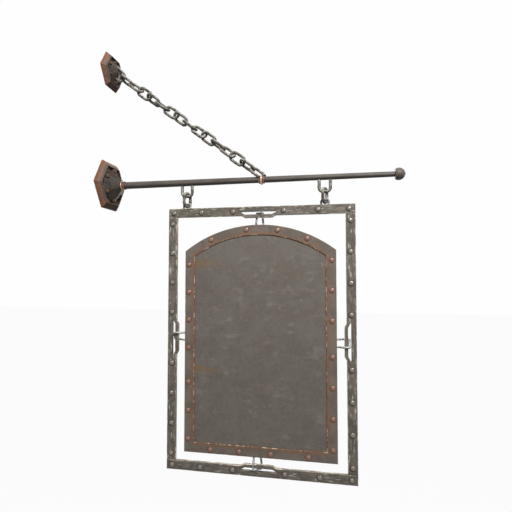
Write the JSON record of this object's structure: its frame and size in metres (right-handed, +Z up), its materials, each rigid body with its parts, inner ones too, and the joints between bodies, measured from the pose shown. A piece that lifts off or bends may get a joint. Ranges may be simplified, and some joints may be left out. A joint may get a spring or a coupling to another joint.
{
  "type": "hanging sign",
  "caption": "Wall-bracket hanging sign: riveted flat-bar frame round a blank arched panel, hung by links from a tapered bar with a chain stay.",
  "frame": {"origin": "on the wall, at the centre of the lower wall plate's back", "axes": "+X out from the wall along the bar, +Y away from the front of the sign, +Z up"},
  "size_m": [1.1543, 0.221, 1.6434],
  "materials": {
    "rusty_iron": "rough, rusted and worn",
    "dark_iron": "rough, dark",
    "copper": "dull, scratched, copper-coloured",
    "chain_steel": "pitted, worn bright on its high sides",
    "tie_steel": "bare wire, lightly weathered",
    "frame_steel": "weathered, with pale worn edges",
    "panel_steel": "dull, scratched, with rust runs"
  },
  "bodies": {
    "wall_bracket": {"lower_wall_plate": "rusty_iron", "upper_wall_plate": "rusty_iron", "lower_plate_boss": "dark_iron", "upper_plate_boss": "dark_iron", "lower_sleeve_nuts": "rusty_iron", "upper_sleeve_nuts": "rusty_iron", "support_bar": "dark_iron", "bar_root_nut": "dark_iron", "root_collar": "copper", "chain_collar": "copper", "chain_collar_pin": "dark_iron", "chain_collar_eye": "chain_steel", "finial_ball": "dark_iron", "chain_staple": "chain_steel", "chain_link_01": "chain_steel", "chain_link_02": "chain_steel", "chain_link_03": "chain_steel", "chain_link_04": "chain_steel", "chain_link_05": "chain_steel", "chain_link_06": "chain_steel", "chain_link_07": "chain_steel", "chain_link_08": "chain_steel", "chain_link_09": "chain_steel", "chain_link_10": "chain_steel", "chain_link_11": "chain_steel", "chain_link_12": "chain_steel", "chain_link_13": "chain_steel", "chain_link_14": "chain_steel", "bar_staple_left": "chain_steel", "bar_staple_right": "chain_steel"},
    "hanger_link_left": {"hanger_link_left": "chain_steel"},
    "hanger_link_right": {"hanger_link_right": "chain_steel"},
    "sign_frame": {"frame_staple_left": "tie_steel", "frame_staple_right": "tie_steel", "frame_front_top": "frame_steel", "frame_front_bottom": "frame_steel", "frame_front_left": "frame_steel", "frame_front_right": "frame_steel", "frame_back_top": "frame_steel", "frame_back_bottom": "frame_steel", "frame_back_left": "frame_steel", "frame_back_right": "frame_steel", "frame_corner_rivets": "frame_steel", "frame_top_rivets": "frame_steel", "frame_bottom_rivets": "frame_steel", "frame_left_rivets": "frame_steel", "frame_right_rivets": "frame_steel", "panel_sheet": "panel_steel", "panel_border_front": "panel_steel", "panel_border_back": "panel_steel", "panel_rivets": "copper", "panel_tie_top": "tie_steel", "panel_tie_bottom": "tie_steel", "panel_tie_left": "tie_steel", "panel_tie_right": "tie_steel"}
  },
  "joints": [
    {"name": "left_link_swing", "type": "hinge", "parent": "wall_bracket", "child": "hanger_link_left", "pos_m": [0.337, 0, -0.054], "axis": [1, 0, 0], "range_deg": [-60, 60]},
    {"name": "right_link_swing", "type": "hinge", "parent": "wall_bracket", "child": "hanger_link_right", "pos_m": [0.869, 0, -0.054], "axis": [1, 0, 0], "range_deg": [-60, 60]},
    {"name": "frame_swing", "type": "hinge", "parent": "hanger_link_left", "child": "sign_frame", "pos_m": [0.337, 0, -0.084], "axis": [1, 0, 0], "range_deg": [-30, 30]}
  ],
  "couplings": [
    {"joint": "right_link_swing", "follows": "left_link_swing", "ratio": 1}
  ]
}
